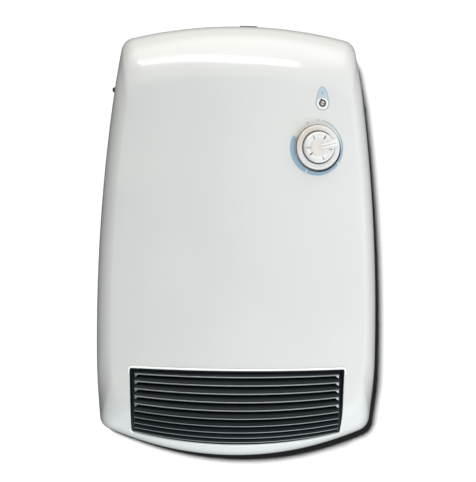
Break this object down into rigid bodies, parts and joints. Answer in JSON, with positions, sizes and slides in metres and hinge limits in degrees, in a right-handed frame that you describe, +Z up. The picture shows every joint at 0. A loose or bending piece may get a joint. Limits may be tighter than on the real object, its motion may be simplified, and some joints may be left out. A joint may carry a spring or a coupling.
{
  "type": "wall fan heater",
  "caption": "Bathroom wall fan heater: barrel-shaped gloss cover on a wall plate, louvred air outlet at the bottom, rotary thermostat with pilot lamp, blower and heating element inside.",
  "frame": {"origin": "centre of the wall face, on the plane of the wall", "axes": "+X to the right seen from the front, +Y into the wall so that the front faces -Y, +Z up"},
  "size_m": [0.2776, 0.1328, 0.4308],
  "materials": {
    "cover_plastic": "white moulded plastic, high gloss",
    "grille_plastic": "dark grey moulded plastic, satin",
    "plate_plastic": "light grey moulded plastic, matt",
    "knob_plastic": "pearl white moulded plastic, glossy",
    "lens_plastic": "clear plastic lens",
    "lamp_glass": "clear glass bulb",
    "dark_screw": "black finished steel screw",
    "zinc_screw": "zinc plated steel screw",
    "galvanised_sheet": "galvanised steel sheet",
    "rubber": "black rubber",
    "bronze": "sintered bronze",
    "steel": "bright turned steel",
    "drum_aluminium": "bare aluminium sheet",
    "lamination": "varnished steel laminations",
    "winding": "enamelled copper wire",
    "mica": "mica board, matt",
    "element_sheath": "heat-tinted steel sheath",
    "bakelite": "dark brown phenolic",
    "cream_plastic": "cream moulded plastic",
    "brass": "bright brass",
    "lead_brown": "brown insulation",
    "lead_blue": "blue insulation",
    "lead_black": "black insulation",
    "print_ink": "steel blue printed scale and badge on the cover"
  },
  "bodies": {
    "case": {"back_plate": "plate_plastic", "bearing_rubber": "rubber", "block_screw_1": "zinc_screw", "block_screw_2": "zinc_screw", "blower_end_plate_left": "galvanised_sheet", "blower_end_plate_right": "galvanised_sheet", "blower_rear_shell": "galvanised_sheet", "blower_screw_1": "zinc_screw", "blower_screw_2": "zinc_screw", "blower_screw_3": "zinc_screw", "blower_screw_4": "zinc_screw", "blower_tongue": "galvanised_sheet", "bracket_screw_1": "zinc_screw", "bracket_screw_2": "zinc_screw", "cable_grommet": "rubber", "control_bracket": "galvanised_sheet", "cover_screw_1": "dark_screw", "cover_screw_2": "dark_screw", "fan_bearing": "bronze", "front_casing": "cover_plastic", "heater_frame": "mica", "heating_element": "element_sheath", "indicator_lens": "lens_plastic", "lamp_holder": "plate_plastic", "lead_live": "lead_brown", "lead_neutral": "lead_blue", "lead_switched": "lead_black", "motor_bracket_inner": "galvanised_sheet", "motor_bracket_outer": "galvanised_sheet", "motor_coil": "winding", "motor_screw_1": "zinc_screw", "motor_screw_2": "zinc_screw", "motor_stator": "lamination", "neon_lamp": "lamp_glass", "outlet_grille": "grille_plastic", "terminal_block": "cream_plastic", "terminal_screw_1": "brass", "terminal_screw_2": "brass", "terminal_screw_3": "brass", "thermal_cutout": "grille_plastic", "thermostat_body": "bakelite", "thermostat_screw_1": "zinc_screw", "thermostat_screw_2": "zinc_screw"},
    "knob": {"control_knob": "knob_plastic", "knob_spring": "steel", "thermostat_spindle": "steel"},
    "fan": {"fan_drum": "drum_aluminium", "fan_journal": "steel", "fan_hub": "rubber", "motor_shaft": "steel", "motor_rotor": "steel", "cooling_fan": "grille_plastic"}
  },
  "joints": [
    {"name": "knob_turn", "type": "hinge", "parent": "case", "child": "knob", "pos_m": [0.0763, -0.12026, 0.0932], "axis": [0.2008, -0.9796, 0], "range_deg": [-221, 97]},
    {"name": "fan_spin", "type": "hinge", "parent": "case", "child": "fan", "pos_m": [0, -0.06, -0.072], "axis": [1, 0, 0], "continuous": true}
  ]
}
